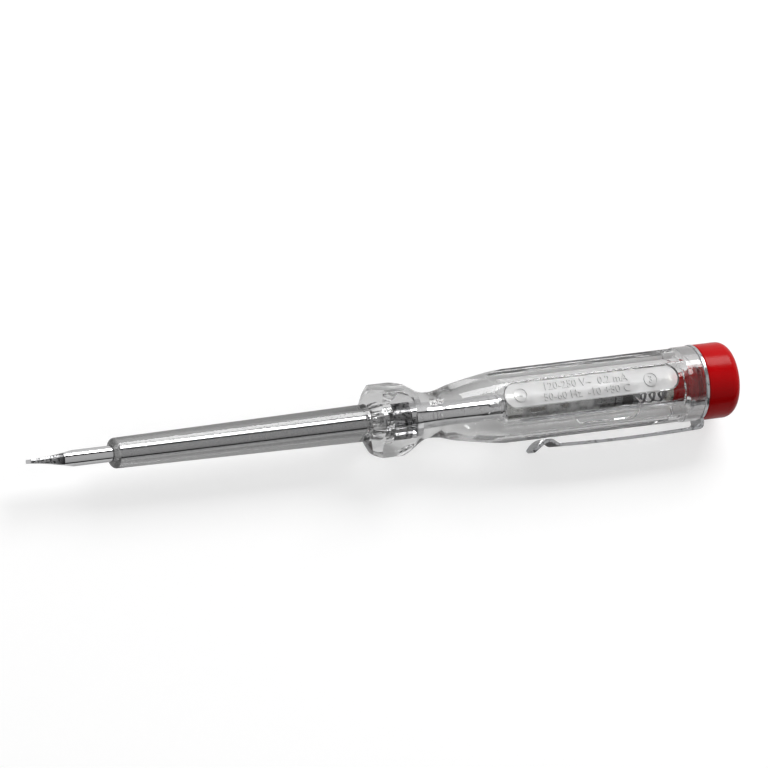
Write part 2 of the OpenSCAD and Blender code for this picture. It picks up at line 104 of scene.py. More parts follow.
def put_in(name: str, work: bmesh.types.BMesh) -> Piece:
    """Puts a worked mesh into the scene under a name, frees the work and returns the object."""
    mesh = bpy.data.meshes.new(name)
    work.to_mesh(mesh)
    work.free()
    return new_object(name, mesh)


def mesh_from(name: str, points: Iterable[Sequence[float]], faces: Iterable[Sequence[int]]) -> Piece:
    """Makes a mesh with its faces turned outwards.

    Args:
        name: Name of the object.
        points: Places in millimetres.
        faces: Corner numbers of each face.

    Returns:
        The new object.
    """
    work = bmesh.new()
    corners = [work.verts.new([c * MM for c in p]) for p in points]
    for face in faces:
        work.faces.new([corners[i] for i in face])
    bmesh.ops.recalc_face_normals(work, faces=work.faces)
    return put_in(name, work)


def turned(
    name: str,
    outline: Outline,
    sides: int,
    hollow: bool = False,
    radius_at: Callable[[float, float, float], float] | None = None,
) -> Piece:
    """Turns an outline about the tester's axis, as on a lathe.

    Args:
        name: Name of the object.
        outline: Points of (place along the axis, radius). A solid's outline starts and ends on the axis.
        sides: Number of steps round the axis.
        hollow: True where the outline is a closed loop that stays off the axis.
        radius_at: Changes the radius at (place, radius, angle), for a thread.

    Returns:
        The new object.
    """
    points: list[Point] = []
    rings: list[list[int]] = []
    for x, r in outline:
        start = len(points)
        if r < CLOSE:
            points.append((x, 0.0, 0.0))
            rings.append([start] * sides)
            continue
        for k in range(sides):
            angle = FULL_TURN * k / sides
            at = radius_at(x, r, angle) if radius_at else r
            points.append((x, at * math.sin(angle), at * math.cos(angle)))
        rings.append(list(range(start, start + sides)))
    faces = []
    for a, b in zip(rings, rings[1:] + (rings[:1] if hollow else [])):
        for k in range(sides):
            n = (k + 1) % sides
            corners = list(dict.fromkeys([a[k], a[n], b[n], b[k]]))
            if len(corners) > 2:
                faces.append(corners)
    return mesh_from(name, points, faces)


def loft(name: str, *rings: Sequence[Point]) -> Piece:
    """Joins rings of as many points each by walls, and closes the first and the last.

    Args:
        name: Name of the object.
        *rings: The rings, in order along the piece.

    Returns:
        The new object.
    """
    count = len(rings[0])
    numbers = [[i * count + k for k in range(count)] for i in range(len(rings))]
    faces = [numbers[0], numbers[-1]]
    for a, b in zip(numbers, numbers[1:]):
        faces += [[a[k], a[(k + 1) % count], b[(k + 1) % count], b[k]] for k in range(count)]
    return mesh_from(name, [p for ring in rings for p in ring], faces)


def prism(name: str, section: Outline, *stations: float) -> Piece:
    """Draws a section of (y, z) points out along the axis through two or more stations."""
    return loft(name, *([(x, y, z) for y, z in section] for x in stations))


def tray(name: str, floor: Outline, rim: Outline, z0: float, z1: float, turn: float = 0.0) -> Piece:
    """Makes a cutter between a floor outline and a rim outline of (x, y) points.

    Args:
        name: Name of the object.
        floor: Outline at the foot.
        rim: Outline at the top, with as many points.
        z0: Height of the foot over the axis.
        z1: Height of the top over the axis.
        turn: Angle about the axis in degrees.

    Returns:
        The new object.
    """
    piece = loft(name, *([(x, y, z) for x, y in line] for line, z in ((floor, z0), (rim, z1))))
    piece.data.transform(Matrix.Rotation(math.radians(turn), 4, "X"))
    return piece


def shares(steps: int) -> list[float]:
    """Gives even shares from 0 to 1, both ends counted."""
    return [i / steps for i in range(steps + 1)]


def flat_bar_section(sides: int, across: float, corner: float, steps: int = 6) -> Outline:
    """Gives the section of a bar with flats and rounded corners, one flat looking up.

    Args:
        sides: Number of flats.
        across: Width across the flats.
        corner: Radius of the rounded corners.
        steps: Steps in each corner.

    Returns:
        Points of (y, z).
    """
    half = math.pi / sides
    centre = (across / 2 - corner) / math.cos(half)
    section = []
    for k in range(sides):
        way = (2 * k + 1) * half
        for i in range(steps + 1):
            angle = way - half + 2 * half * i / steps
            y, z = centre * math.sin(way), centre * math.cos(way)
            section.append((y + corner * math.sin(angle), z + corner * math.cos(angle)))
    return section


def cut_corners(x0: float, x1: float, half: float, cut: float) -> Outline:
    """Gives an oblong with its corners cut off, as (x, y) points round it."""
    return [
        (x0, -half + cut), (x0 + cut, -half), (x1 - cut, -half), (x1, -half + cut),
        (x1, half - cut), (x1 - cut, half), (x0 + cut, half), (x0, half - cut),
    ]


def stadium(x0: float, x1: float, half: float, steps: int = 14) -> Outline:
    """Gives an oblong with round ends, as (x, y) points round it."""
    end = [(-math.sin(math.pi * i / steps), math.cos(math.pi * i / steps)) for i in range(steps + 1)]
    return [(x0 + half * a, half * b) for a, b in end] + [(x1 - half * a, -half * b) for a, b in end]


def arc(x: float, r: float, size: float, first: float, last: float, steps: int) -> Outline:
    """Gives points on an arc round (x, r), between two angles in degrees from the axis's way."""
    angles = (math.radians(first + (last - first) * i / steps) for i in range(steps + 1))
    return [(x + size * math.cos(a), r + size * math.sin(a)) for a in angles]


def evaluated(piece: Piece, all_layers: bool = True) -> bpy.types.Mesh:
    """Returns what a piece's modifiers or its text make of it, as a plain mesh."""
    bpy.context.view_layer.update()
    depsgraph = bpy.context.evaluated_depsgraph_get()
    return bpy.data.meshes.new_from_object(
        piece.evaluated_get(depsgraph), preserve_all_data_layers=all_layers, depsgraph=depsgraph
    )


def settle(piece: Piece) -> Piece:
    """Turns a piece with live modifiers into a plain mesh and takes the modifiers off."""
    mesh = evaluated(piece)
    piece.modifiers.clear()
    old, piece.data = piece.data, mesh
    if old.users == 0:
        bpy.data.meshes.remove(old)
    return piece


def work_in(base: Piece, how: Cut, *tools: Piece) -> Piece:
    """Works other solids into a base solid and removes them.

    Args:
        base: The solid that stays.
        how: Whether the tools are joined on, carved out or met.
        *tools: The other solids.

    Returns:
        The base.
    """
    for tool in tools:
        step = base.modifiers.new(how.name, "BOOLEAN")
        step.operation = how.value
        step.solver = "EXACT"
        step.object = tool
        settle(base)
        bpy.data.objects.remove(tool)
    return base


def smooth(piece: Piece, sharp: float = 24.0, weigh: bool = True) -> Piece:
    """Shades a piece smooth up to an angle, and lets its large faces set the normals.

    Args:
        piece: The piece.
        sharp: Angle in degrees past which an edge stays crisp.
        weigh: True for pieces whose flats have to stay flat beside their rounded edges.

    Returns:
        The piece.
    """
    piece.data.shade_smooth()
    piece.data.set_sharp_from_angle(angle=math.radians(sharp))
    if weigh:
        step = piece.modifiers.new("weigh", "WEIGHTED_NORMAL")
        step.keep_sharp = True
        step.weight = 90
        settle(piece)
    return piece


def cad_copy(node: str, name: str, sharp: float = 30.0) -> Piece:
    """Copies a CAD node's mesh, merges its loose triangles and shades it smooth.

    Args:
        node: Name of the CAD node.
        name: Name of the copy.
        sharp: Angle in degrees past which an edge stays crisp.

    Returns:
        The copy, which stands for the node.
    """
    work = bmesh.new()
    work.from_mesh(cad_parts[node].data)
    bmesh.ops.remove_doubles(work, verts=work.verts, dist=MERGE)
    bmesh.ops.dissolve_limit(work, angle_limit=math.radians(0.5), verts=work.verts, edges=work.edges)
    piece = smooth(put_in(name, work), sharp)
    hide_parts(node)
    return piece


def relief_text(words: str, size: float, height: float) -> Piece:
    """Makes raised lettering that lies flat with its foot at height 0 and its middle at the origin.

    Args:
        words: The lettering.
        size: Height of a line in millimetres.
        height: Height of the relief.

    Returns:
        The new object.
    """
    curve = bpy.data.curves.new(words, "FONT")
    curve.body = words
    curve.size = size * MM
    curve.extrude = height * MM / 2
    curve.align_x = curve.align_y = "CENTER"
    curve.resolution_u = 3
    text = new_object(words, curve)
    mesh = evaluated(text, all_layers=False)
    bpy.data.objects.remove(text)
    mesh.transform(Matrix.Translation((0, 0, height * MM / 2)))
    work = bmesh.new()
    work.from_mesh(mesh)
    bpy.data.meshes.remove(mesh)
    bmesh.ops.remove_doubles(work, verts=work.verts, dist=MERGE)
    bmesh.ops.recalc_face_normals(work, faces=work.faces)
    return put_in("relief", work)


# ---- Node kit ----


def add_node(tree: Tree, kind: str, inputs: Inputs | None = None, **settings: object) -> bpy.types.Node:
    """Adds a node with its settings, values and links.

    Args:
        tree: The node tree.
        kind: The node's type name.
        inputs: A value or an output socket for each named input.
        **settings: Values of the node's own properties.

    Returns:
        The node.
    """
    node = tree.nodes.new(kind)
    for key, value in settings.items():
        setattr(node, key, value)
    for key, value in (inputs or {}).items():
        if isinstance(value, Socket):
            tree.links.new(value, node.inputs[key])
        else:
            node.inputs[key].default_value = value
    return node


def empty_tree(owner: bpy.types.Material | bpy.types.World) -> Tree:
    """Gives a material or a world an empty node tree and returns it."""
    owner.use_nodes = True
    owner.node_tree.nodes.clear()
    return owner.node_tree


def skin(tree: Tree, *layers: tuple[Socket, float, float, float]) -> tuple[list[Socket], Socket]:
    """Lays the fine relief of a surface, one layer of grain over another.

    Args:
        tree: The material's tree.
        *layers: For each layer its coordinates, the size of its grain, its depth and its detail.

    Returns:
        The pattern of each layer, and the normal of them all.
    """
    patterns: list[Socket] = []
    below: dict[str, object] = {}
    for place, size, depth, detail in layers:
        noise = add_node(tree, "ShaderNodeTexNoise", {"Vector": place, "Scale": 1 / (size * MM), "Detail": detail})
        patterns.append(noise.outputs["Fac"])
        bump = {"Strength": 1.0, "Distance": depth * MM, "Height": patterns[-1], **below}
        below = {"Normal": add_node(tree, "ShaderNodeBump", bump).outputs["Normal"]}
    return patterns, below["Normal"]


def grow(
    name: str,
    sizes: Mapping[str, float],
    finish: bpy.types.Material,
    build: Callable[[Tree, Mapping[str, Socket]], Socket],
) -> Piece:
    """Grows a piece with a Geometry Nodes tree and turns it into a plain mesh.

    Args:
        name: Name of the object.
        sizes: The tree's named inputs, in metres or plain numbers.
        finish: Material of the piece.
        build: Adds the tree's nodes and returns the socket with the geometry.

    Returns:
        The piece as a plain mesh without modifiers.
    """
    tree = bpy.data.node_groups.new(name, "GeometryNodeTree")
    tree.interface.new_socket("Geometry", in_out="OUTPUT", socket_type="NodeSocketGeometry")
    for key in sizes:
        tree.interface.new_socket(key, in_out="INPUT", socket_type="NodeSocketFloat")
    tree.interface.new_socket("Finish", in_out="INPUT", socket_type="NodeSocketMaterial")
    entry = add_node(tree, "NodeGroupInput")
    shape = build(tree, {key: entry.outputs[key] for key in sizes})
    real = add_node(tree, "GeometryNodeRealizeInstances", {"Geometry": shape}).outputs["Geometry"]
    dressed = add_node(tree, "GeometryNodeSetMaterial", {"Geometry": real, "Material": entry.outputs["Finish"]})
    add_node(tree, "NodeGroupOutput", {"Geometry": dressed.outputs["Geometry"]})
    piece = new_object(name, bpy.data.meshes.new(name))
    step = piece.modifiers.new(name, "NODES")
    step.node_group = tree
    for item in tree.interface.items_tree:
        if item.in_out == "INPUT":
            step[item.identifier] = finish if item.name == "Finish" else sizes[item.name]
    return settle(piece)


# ---- Finishes ----


def linear(code: str) -> tuple[float, float, float, float]:
    """Turns an sRGB hex colour into linear red, green, blue and alpha."""
    parts = [int(code[i : i + 2], 16) / 255 for i in (1, 3, 5)]
    values = [c / 12.92 if c <= 0.04045 else ((c + 0.055) / 1.055) ** 2.4 for c in parts]
    return values[0], values[1], values[2], 1.0


@dataclass(frozen=True)
class Finish(ABC):
    """A material and how its surface was made."""

    name: str

    def material(self) -> bpy.types.Material:
        """Returns the material, made once and then shared."""
        found = bpy.data.materials.get(self.name)
        if found:
            return found
        made = bpy.data.materials.new(self.name)
        tree = empty_tree(made)
        place = add_node(tree, "ShaderNodeTexCoord").outputs["Object"]
        sockets: dict[str | int, object] = {"Surface": self.shade(tree, place)}
        inside = self.fill(tree)
        if inside:
            sockets["Volume"] = inside
        add_node(tree, "ShaderNodeOutputMaterial", sockets)
        return made

    @abstractmethod
    def shade(self, tree: Tree, place: Socket) -> Socket:
        """Adds the finish's nodes and returns the shader's socket."""

    def fill(self, tree: Tree) -> Socket | None:
        """Adds what dims the light inside the body and returns its socket, or None for nothing."""
        return None


@dataclass(frozen=True)
class ClearBody(Finish):
    """A finish of a clear body, whose inside may dim the light a little."""

    smoke: float = 0.0
    ior: float = 1.49

    def fill(self, tree: Tree) -> Socket | None:
        """Adds the smoky inside and returns its socket."""
        if self.smoke == 0.0:
            return None
        dim = {"Color": linear("#BCBCBC"), "Density": self.smoke}
        return add_node(tree, "ShaderNodeVolumeAbsorption", dim).outputs["Volume"]


@dataclass(frozen=True)
class ClearMoulding(ClearBody):
    """Clear cellulose acetate, injection moulded and polished by its mould.

    The eye sees through it as through water. Slow waves in the skin, left by the flow in the mould, make
    reflections wander, and a fine haze takes the hard edge off what lies inside.
    """

    tint: str = "#F7F7F7"
    haze: float = 0.012
    wave_mm: float = 5.0
    wave_height: float = 0.012
    nick_mm: float = 0.5
    nick_height: float = 0.002

    def shade(self, tree: Tree, place: Socket) -> Socket:
        """Adds the clear plastic's nodes and returns the shader's socket."""
        waves = (place, self.wave_mm, self.wave_height, 1.0)
        nicks = (place, self.nick_mm, self.nick_height, 3.0)
        look = {
            "Base Color": linear(self.tint), "Roughness": self.haze, "IOR": self.ior,
            "Transmission Weight": 1.0, "Normal": skin(tree, waves, nicks)[1],
        }
        return add_node(tree, "ShaderNodeBsdfPrincipled", look).outputs["BSDF"]


@dataclass(frozen=True)
class SatinMoulding(ClearBody):
    """The same clear plastic where the mould was spark eroded or the tube was sawn.

    The fine pits scatter the light, so the face looks white and partly hides what lies behind it.
    """

    white: str = "#F3F3F3"
    roughness: float = 0.42
    clear_share: float = 0.45
    pit_mm: float = 0.16
    pit_height: float = 0.006

    def shade(self, tree: Tree, place: Socket) -> Socket:
        """Adds the satin plastic's nodes and returns the shader's socket."""
        patches = add_node(tree, "ShaderNodeTexNoise", {"Vector": place, "Scale": 420.0, "Detail": 2.0})
        span = (patches.outputs["Fac"], 0.3, 0.7, self.clear_share - 0.15, self.clear_share + 0.15)
        clear = add_node(tree, "ShaderNodeMapRange", dict(zip(RANGE, span)))
        look = {
            "Base Color": linear(self.white), "Roughness": self.roughness, "IOR": self.ior,
            "Transmission Weight": clear.outputs["Result"],
            "Normal": skin(tree, (place, self.pit_mm, self.pit_height, 3.0))[1],
        }
        return add_node(tree, "ShaderNodeBsdfPrincipled", look).outputs["BSDF"]


@dataclass(frozen=True)
class DrawnSteel(Finish):
    """Steel bar or sheet that was drawn, rolled or ground, with a plated skin.

    The fine lines of its making run one way. They break up the reflections a little across themselves, and
    the plating's small pits give it a grain.
    """

    light: str = "#D6D6D8"
    dark: str = "#A8A8AB"
    roughness: float = 0.12
    line_mm: float = 0.12
    line_stretch: float = 60.0
    line_height: float = 0.0015
    grain_mm: float = 0.25
    grain_height: float = 0.0
    spot_share: float = 0.0
    painted_shade_span: Pair | None = None

    def shade(self, tree: Tree, place: Socket) -> Socket:
        """Adds the steel's nodes and returns the shader's socket. Painted shade darkens it between two places in x.
        """
        along = add_node(tree, "ShaderNodeMapping", {"Vector": place, "Scale": (1 / self.line_stretch, 1.0, 1.0)})
        (lines, grain), normal = skin(
            tree,
            (along.outputs["Vector"], self.line_mm, self.line_height, 4.0),
            (place, self.grain_mm, self.grain_height, 5.0),
        )
        span = (grain, 0.62 - self.spot_share, 0.72 - self.spot_share, 0.0, 1.0)
        share = add_node(tree, "ShaderNodeMapRange", dict(zip(RANGE, span))).outputs["Result"]
        # Painted shade: between the span's two places the steel turns to its dark tone, and stays dark beyond.
        if self.painted_shade_span:
            x = add_node(tree, "ShaderNodeSeparateXYZ", {0: place}).outputs["X"]
            span = (x, self.painted_shade_span[0] * MM, self.painted_shade_span[1] * MM)
            dim = add_node(tree, "ShaderNodeMapRange", dict(zip(RANGE, span))).outputs["Result"]
            share = add_node(tree, "ShaderNodeMath", {0: share, 1: dim}, operation="MAXIMUM").outputs[0]
        tones = {"Factor": share, 6: linear(self.light), 7: linear(self.dark)}
        span = (lines, 0.3, 0.7, self.roughness * 0.7, self.roughness * 1.4)
        look = {
            "Base Color": add_node(tree, "ShaderNodeMix", tones, data_type="RGBA").outputs[2],
            "Metallic": 1.0,
            "Roughness": add_node(tree, "ShaderNodeMapRange", dict(zip(RANGE, span))).outputs["Result"],
            "Normal": normal,
        }
        return add_node(tree, "ShaderNodeBsdfPrincipled", look).outputs["BSDF"]


@dataclass(frozen=True)
class SolidPlastic(Finish):
    """Opaque moulded plastic, lacquer or enamel with a gloss.

    Its colour is nearly even. A slow change of tone and the faint orange peel of the mould keep it from
    looking painted by a machine.
    """

    colour: str = "#B4070C"
    deep: str = "#8E0509"
    roughness: float = 0.16
    peel_mm: float = 0.7
    peel_height: float = 0.003
    gloss: float = 0.5

    def shade(self, tree: Tree, place: Socket) -> Socket:
        """Adds the plastic's nodes and returns the shader's socket."""
        tone = add_node(tree, "ShaderNodeTexNoise", {"Vector": place, "Scale": 260.0, "Detail": 3.0})
        (peel,), normal = skin(tree, (place, self.peel_mm, self.peel_height, 2.0))
        tones = {"Factor": tone.outputs["Fac"], 6: linear(self.colour), 7: linear(self.deep)}
        span = (peel, 0.3, 0.7, self.roughness * 0.8, self.roughness * 1.3)
        look = {
            "Base Color": add_node(tree, "ShaderNodeMix", tones, data_type="RGBA").outputs[2],
            "Roughness": add_node(tree, "ShaderNodeMapRange", dict(zip(RANGE, span))).outputs["Result"],
            "IOR": 1.53, "Specular IOR Level": self.gloss, "Normal": normal,
        }
        return add_node(tree, "ShaderNodeBsdfPrincipled", look).outputs["BSDF"]


@dataclass(frozen=True)
class LampGlass(Finish):
    """Soda glass of the glow lamp's tube, drawn and flame sealed.

    Metal that boiled off the electrodes has clouded it from inside in grey patches.
    """

    clear: str = "#EDEDED"
    cloud: str = "#ECECEC"
    patch_mm: float = 2.2

    def shade(self, tree: Tree, place: Socket) -> Socket:
        """Adds the clouded glass's nodes and returns the shader's socket."""
        grain = {"Vector": place, "Scale": 1 / (self.patch_mm * MM), "Detail": 5.0}
        patches = add_node(tree, "ShaderNodeTexNoise", grain).outputs["Fac"]
        share = add_node(tree, "ShaderNodeMapRange", dict(zip(RANGE, (patches, 0.38, 0.66, 0.12, 0.75))))
        glass, film = (
            add_node(tree, "ShaderNodeBsdfPrincipled", look).outputs["BSDF"]
            for look in (
                {"Base Color": linear(self.clear), "Roughness": 0.03, "IOR": 1.51, "Transmission Weight": 1.0},
                {"Base Color": linear(self.cloud), "Metallic": 0.3, "Roughness": 0.35},
            )
        )
        return add_node(
            tree, "ShaderNodeMixShader", {0: share.outputs["Result"], 1: glass, 2: film}
        ).outputs["Shader"]


@dataclass(frozen=True)
class TablePaper(Finish):
    """Matt white paper. Its own glow shows in full to the camera, and a share of it in steel and through plastic."""

    tone: str = "#B4B4B4"
    fibre: str = "#AFAFAF"
    glow: float = 0.62
    mirrored_share: float = 0.35

    def shade(self, tree: Tree, place: Socket) -> Socket:
        """Adds the paper's nodes and returns the shader's socket."""
        fibre = add_node(tree, "ShaderNodeTexNoise", {"Vector": place, "Scale": 900.0, "Detail": 3.0})
        tones = {"Factor": fibre.outputs["Fac"], 6: linear(self.tone), 7: linear(self.fibre)}
        tone = add_node(tree, "ShaderNodeMix", tones, data_type="RGBA").outputs[2]
        matt = add_node(tree, "ShaderNodeBsdfDiffuse", {"Color": tone}).outputs["BSDF"]
        ray = add_node(tree, "ShaderNodeLightPath").outputs
        mirrored = {0: ray["Is Glossy Ray"], 1: ray["Is Transmission Ray"]}
        seen = add_node(tree, "ShaderNodeMath", mirrored, operation="ADD", use_clamp=True).outputs[0]
        seen = {0: seen, 1: self.mirrored_share, 2: ray["Is Camera Ray"]}
        seen = add_node(tree, "ShaderNodeMath", seen, operation="MULTIPLY_ADD", use_clamp=True).outputs[0]
        lift = add_node(tree, "ShaderNodeMath", {0: seen, 1: self.glow}, operation="MULTIPLY").outputs[0]
        glow = add_node(tree, "ShaderNodeEmission", {"Color": WHITE, "Strength": lift}).outputs["Emission"]
        return add_node(tree, "ShaderNodeAddShader", {0: matt, 1: glow}).outputs["Shader"]


HANDLE_PLASTIC = ClearMoulding("clear acetate, moulded")
SATIN_PLASTIC = SatinMoulding("clear acetate, satin")
# Painted shade: the sides of the letters are the same clear acetate as the floor, made darker than the satin floor
# so that they show as lines against it.
LETTER_PAINTED_SHADE = SatinMoulding("clear acetate, letter side, painted shade", white="#5A5A5A", clear_share=0.15)
SLEEVE_PLASTIC = ClearMoulding("clear acetate tube, drawn", smoke=270.0, haze=0.02, wave_mm=3.0, wave_height=0.008)
SLEEVE_MOUTH = SatinMoulding("clear acetate tube, sawn", smoke=270.0, roughness=0.2, clear_share=0.75)
SHAFT_STEEL = DrawnSteel("tool steel, drawn and nickel plated", light="#DDDDDE", dark="#C6C6C8", roughness=0.06)
# Painted shade: from -12.4 to -9.8 mm the ground faces turn to the dark tone, at the shoulder where the grind meets
# the shaft.
GROUND_STEEL = DrawnSteel(
    "tool steel, ground", light="#A6A6A7", dark="#353536", painted_shade_span=(-12.4, -9.8), roughness=0.32,
    line_mm=0.2, line_stretch=1.0, line_height=0.012, grain_mm=0.4, grain_height=0.03, spot_share=0.12,
)
# Partly the wings' own unpolished finish and partly painted shade: the pressed steel is made darker to stand for the
# dark the wings show through the collar.
PRESSED_STEEL_PAINTED_SHADE = DrawnSteel(
    "tool steel, pressed and scaled, darkened by painted shade", light="#8C8C8D", dark="#3C3C3D", roughness=0.3,
    line_mm=0.3, line_stretch=12.0, line_height=0.01, grain_mm=0.7, spot_share=0.12,
)
# Painted shade: the hollow side of the clip's arch is bright plated sheet like the rest, made near-black here to
# stand for the dark it mirrors.
ARCH_PAINTED_SHADE_STEEL = DrawnSteel(
    "spring sheet, blanked, painted shade in the arch", light="#4A4A4C", dark="#29292A", roughness=0.35,
    line_mm=0.15, line_stretch=8.0, line_height=0.003, grain_mm=0.5,
)
CLIP_STEEL = DrawnSteel(
    "spring sheet, blanked and nickel plated", light="#CFD0D2", dark="#77787B", roughness=0.2,
    line_mm=0.15, line_stretch=8.0, line_height=0.003, grain_mm=0.5, grain_height=0.006, spot_share=0.06,
)
NICKEL = DrawnSteel(
    "nickel cap, drawn", light="#B9B8B4", dark="#7E7D7A", roughness=0.24,
    grain_mm=0.6, grain_height=0.004, spot_share=0.08,
)
TIN_PLATE = DrawnSteel(
    "tin plate, pressed", light="#8F8F8F", dark="#5B5B5B", roughness=0.28, grain_mm=0.4, spot_share=0.1
)
BRIGHT_TIN = DrawnSteel(
    "tin plate, drawn", light="#D2D2CF", dark="#969693", roughness=0.24, grain_mm=0.6, spot_share=0.06
)
SPRING_WIRE = DrawnSteel("spring wire, drawn", light="#8E8E90", dark="#4A4A4C", roughness=0.18, line_stretch=4.0)
BRASS = DrawnSteel("brass disc, nickel plated", light="#B9B6AC", dark="#8F8A7C", roughness=0.22, grain_mm=0.5)
SOLDER = DrawnSteel(
    "soft solder, cooled", light="#B7B9BC", dark="#8A8C8F", roughness=0.3, grain_mm=0.3, grain_height=0.006
)
ELECTRODE = DrawnSteel("nickel rod, coated", light="#A9A399", dark="#6C675F", roughness=0.4, grain_mm=0.2)
RED_PLASTIC = SolidPlastic("red polystyrene, moulded", colour="#B8050B", deep="#A60409", roughness=0.2, gloss=0.1)
LACQUER = SolidPlastic(
    "resistor lacquer, dipped", colour="#2B2421", deep="#15110F", roughness=0.3, peel_height=0.006
)
CLOUDED_GLASS = LampGlass("lamp glass, clouded")
PAPER = TablePaper("white paper, matt")


def dress(piece: Piece, finish: Finish, body: Body) -> Piece:
    """Gives a finished piece its material and its body, and reports it.

    Args:
        piece: The piece, as a plain mesh.
        finish: Its finish.
        body: The body that it rides on.

    Returns:
        The piece.
    """
    piece.data.materials.clear()
    piece.data.materials.append(finish.material())
    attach(piece, body.value)
    LOG.info("%s: %d faces, %s", piece.name, len(piece.data.polygons), finish.name)
    return piece


# ---- The tester's pieces ----


@dataclass
class Blade:
    """The steel blade: a drawn shaft with a ground tip, wings in the collar and a square-cut inner end."""

    tip: float = -16.3
    end: float = 76.768
    end_edge: float = 0.12
    radius: float = 1.5
    grind: float = 8.7
    tip_thick: float = 0.7
    tip_wide: float = 2.6
    tip_edge: Pair = (0.05, 0.04)
    tip_rise: float = 0.35
    hollow: float = 0.24
    turn: float = 15.0
    wheel_half: float = 4.0
    groove: float = 0.25
    groove_wide: float = 1.0
    groove_slope: float = 0.02
    rough_l: float = 6.6
    scaled: Pair = (53.9, 58.3)
    wings: Pair = (54.8, 59.8)
    wing_wide: float = 4.4
    wing_thick: float = 1.8
    wing_edge: float = 0.3

    def ground_face(self, side: float) -> Outline:
        """Gives one hollow ground face from the tip back to the shaft, as (x, y) points."""
        points = []
        for t in shares(28):
            half = self.tip_thick / 2 + (2 * self.radius - self.tip_thick) / 2 * t
            rise = self.tip_rise * (1 - t)
            points.append((self.tip + self.grind * t, rise + side * (half - self.hollow * 4 * t * (1 - t))))
        return points

    def shaft(self) -> Piece:
        """Turns the shaft and grinds its end."""
        r, front, floor = self.radius, self.tip_wide / 2, self.radius - self.groove
        (back, down), slope, edge = self.tip_edge, self.groove_slope, self.end_edge
        stations = (0.3, 0.55, self.rough_l / self.grind, 1.0)
        outline: Outline = [(self.tip, 0), (self.tip, front - down), (self.tip + back, front)]
        outline += [(self.tip + self.grind * t, front + (r - front) * t) for t in stations]
        outline += [(-slope, r), (0.0, floor), (self.groove_wide, floor), (self.groove_wide + slope, r)]
        outline += [(x, r) for x in (12.0, 38.0, *self.scaled)]
        outline += [(self.end - edge, r), (self.end, r - edge), (self.end, 0)]
        far, behind = self.wheel_half, self.tip + self.grind + 0.5
        beyond = self.end + far
        kept = self.ground_face(1.0) + [(behind, far), (beyond, far), (beyond, -far), (behind, -far)]
        kept += self.ground_face(-1.0)[::-1]
        return work_in(turned("blade", outline, 96), Cut.MEET, tray("wheel", kept, kept, -far, far, self.turn))

    def build(self) -> None:
        """Makes the blade, with its ground end and its pressed wings left unpolished, both partly darkened by
        painted shade.
        """
        y, z, cut = self.wing_wide / 2, self.wing_thick / 2, self.wing_edge
        section = cut_corners(-y, y, z, cut)
        wings = prism("wings", section, self.wings[0], self.scaled[1], self.wings[1])
        piece = smooth(work_in(self.shaft(), Cut.JOIN, wings), 20.0)
        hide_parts("blade")
        dress(piece, SHAFT_STEEL, Body.HANDLE)
        piece.data.materials.append(GROUND_STEEL.material())
        piece.data.materials.append(PRESSED_STEEL_PAINTED_SHADE.material())
        for face in piece.data.polygons:
            x = face.center.x / MM
            # The ground end takes slot 1, whose dark shoulder is painted shade.
            if self.tip + 0.001 < x < self.tip + self.rough_l:
                face.material_index = 1
            # The wings take slot 2, steel darkened by painted shade.
            elif self.scaled[0] < x < self.scaled[1]:
                face.material_index = 2


@dataclass
class Sleeve:
    """The clear insulating tube on the shaft, with a rounded mouth and a spigot in the collar."""

    collar: float = 50.3
    front_r: float = 2.8
    rear_r: float = 3.4
    nose: float = 0.8
    bore_r: float = 1.53
    spigot_r: float = 2.8
    spigot_end: float = 54.3
    spigot_edge: float = 0.2
    film: float = 0.03
    rib_r: float = 1.28
    rib_end: float = 0.97
    cut_l: float = 0.9

    def build(self) -> None:
        """Turns the tube. A film of air is left round the shaft and the spigot, as in the real fit."""
        shoulder, stations, edge = self.collar - self.film, (8.0, 18.0, 30.0, 42.0), self.spigot_edge
        slope = (self.rear_r - self.front_r) / (self.collar - self.nose)
        outline = [(self.film, self.rib_r), (self.film, self.bore_r), (0.0, self.bore_r + self.film)]
        outline += arc(self.nose, self.front_r - self.nose, self.nose, 180, 90, 10)
        outline += [(x, self.front_r + slope * (x - self.nose)) for x in stations]
        outline += [(shoulder, self.rear_r), (shoulder, self.spigot_r), (self.spigot_end - edge, self.spigot_r)]
        outline += [(self.spigot_end - self.film, r) for r in (self.spigot_r - edge, self.bore_r)]
        outline += [(x, self.bore_r) for x in (*stations[::-1], self.rib_end)] + [(self.rib_end, self.rib_r)]
        piece = smooth(turned("sleeve", outline, 96, hollow=True), 30.0, weigh=False)
        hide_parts("blade_sleeve")
        dress(piece, SLEEVE_PLASTIC, Body.HANDLE)
        piece.data.materials.append(SLEEVE_MOUTH.material())
        for face in piece.data.polygons:
            face.material_index = 1 if face.center.x < self.cut_l * MM else 0


